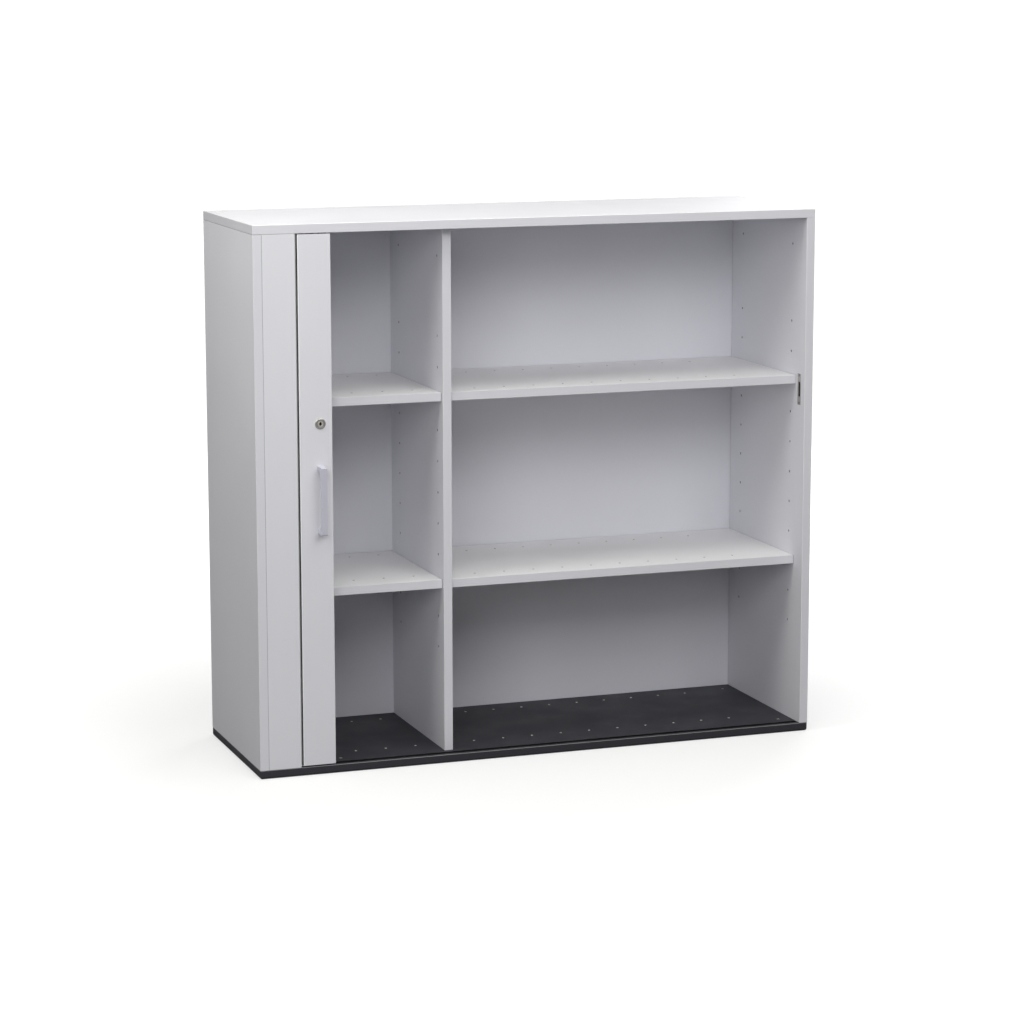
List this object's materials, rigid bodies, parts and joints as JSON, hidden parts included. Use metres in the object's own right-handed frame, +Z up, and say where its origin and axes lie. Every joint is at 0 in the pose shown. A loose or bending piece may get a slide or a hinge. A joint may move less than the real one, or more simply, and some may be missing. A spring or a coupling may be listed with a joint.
{
  "type": "tambour door cabinet",
  "caption": "Low office cabinet with open bays, adjustable shelves and a slatted curtain door that slides sideways and winds into a pocket at the left end.",
  "frame": {"origin": "on the floor under the centre of the carcass, on the base panel's underside", "axes": "+X to the right seen from the front, +Y to the back, +Z up"},
  "size_m": [1.2, 0.418, 1.108],
  "materials": {
    "grey_board": "light grey melamine, satin",
    "dark_board": "anthracite melamine, satin",
    "grey_back": "light grey melamine, satin",
    "raw_timber": "bare beech",
    "grey_curtain": "extruded, matt",
    "black_track": "extruded, matt",
    "grey_handle": "satin coated",
    "nickel_lock": "satin nickel",
    "zinc_steel": "zinc plated",
    "black_foot": "moulded"
  },
  "bodies": {
    "cabinet": {"base_panel": "dark_board", "top_panel": "grey_board", "left_side_panel": "grey_board", "right_side_panel": "grey_board", "inner_side_panel": "grey_board", "divider_panel": "grey_board", "back_panel": "grey_back", "carcass_dowels": "raw_timber", "facia_panel": "grey_board", "facia_batten": "raw_timber", "left_lower_shelf": "grey_board", "left_upper_shelf": "grey_board", "right_lower_shelf": "grey_board", "right_upper_shelf": "grey_board", "left_shelf_pins": "zinc_steel", "right_shelf_pins": "zinc_steel", "lower_track": "black_track", "upper_track": "black_track", "curtain_corner_slats": "grey_curtain", "curtain_wound_slats": "grey_curtain", "strike_plate": "nickel_lock", "strike_screws": "zinc_steel", "foot_sleeves": "black_foot"},
    "door": {"leading_board": "grey_board", "curtain_lead_slat": "grey_curtain", "curtain_connector": "grey_curtain", "lower_glides": "black_track", "upper_glides": "black_track", "bow_handle": "grey_handle", "handle_screws": "zinc_steel", "lock_barrel": "nickel_lock", "lock_case": "zinc_steel", "lock_case_screws": "zinc_steel"},
    "lock": {"lock_plug": "nickel_lock", "lock_hook": "zinc_steel", "hook_clip": "zinc_steel"},
    "left_front_foot": {"left_front_foot": "black_foot"},
    "left_front_spindle": {"left_front_spindle": "zinc_steel"},
    "left_rear_foot": {"left_rear_foot": "black_foot"},
    "left_rear_spindle": {"left_rear_spindle": "zinc_steel"},
    "right_front_foot": {"right_front_foot": "black_foot"},
    "right_front_spindle": {"right_front_spindle": "zinc_steel"},
    "right_rear_foot": {"right_rear_foot": "black_foot"},
    "right_rear_spindle": {"right_rear_spindle": "zinc_steel"}
  },
  "joints": [
    {"name": "door_slide", "type": "slide", "parent": "cabinet", "child": "door", "axis": [1, 0, 0], "range_m": [0, 1.024], "deforming": ["curtain_corner_slats", "curtain_wound_slats"]},
    {"name": "lock_turn", "type": "hinge", "parent": "door", "child": "lock", "pos_m": [-0.4675, -0.197, 0.713], "axis": [0, 1, 0], "range_deg": [0, 90]},
    {"name": "left_front_foot_lower", "type": "slide", "parent": "cabinet", "child": "left_front_foot", "axis": [0, 0, -1], "range_m": [0, 0.008]},
    {"name": "left_front_spindle_turn", "type": "hinge", "parent": "left_front_foot", "child": "left_front_spindle", "pos_m": [-0.418, -0.1445, 0.01], "axis": [0, 0, -1], "range_deg": [0, 2304.1]},
    {"name": "left_rear_foot_lower", "type": "slide", "parent": "cabinet", "child": "left_rear_foot", "axis": [0, 0, -1], "range_m": [0, 0.008]},
    {"name": "left_rear_spindle_turn", "type": "hinge", "parent": "left_rear_foot", "child": "left_rear_spindle", "pos_m": [-0.418, 0.154, 0.01], "axis": [0, 0, -1], "range_deg": [0, 2304.1]},
    {"name": "right_front_foot_lower", "type": "slide", "parent": "cabinet", "child": "right_front_foot", "axis": [0, 0, -1], "range_m": [0, 0.008]},
    {"name": "right_front_spindle_turn", "type": "hinge", "parent": "right_front_foot", "child": "right_front_spindle", "pos_m": [0.5555, -0.1445, 0.01], "axis": [0, 0, -1], "range_deg": [0, 2304.1]},
    {"name": "right_rear_foot_lower", "type": "slide", "parent": "cabinet", "child": "right_rear_foot", "axis": [0, 0, -1], "range_m": [0, 0.008]},
    {"name": "right_rear_spindle_turn", "type": "hinge", "parent": "right_rear_foot", "child": "right_rear_spindle", "pos_m": [0.5555, 0.154, 0.01], "axis": [0, 0, -1], "range_deg": [0, 2304.1]}
  ],
  "couplings": [
    {"joint": "left_front_spindle_turn", "follows": "left_front_foot_lower", "rad_per_m": 5026.5},
    {"joint": "left_rear_spindle_turn", "follows": "left_rear_foot_lower", "rad_per_m": 5026.5},
    {"joint": "right_front_spindle_turn", "follows": "right_front_foot_lower", "rad_per_m": 5026.5},
    {"joint": "right_rear_spindle_turn", "follows": "right_rear_foot_lower", "rad_per_m": 5026.5}
  ]
}
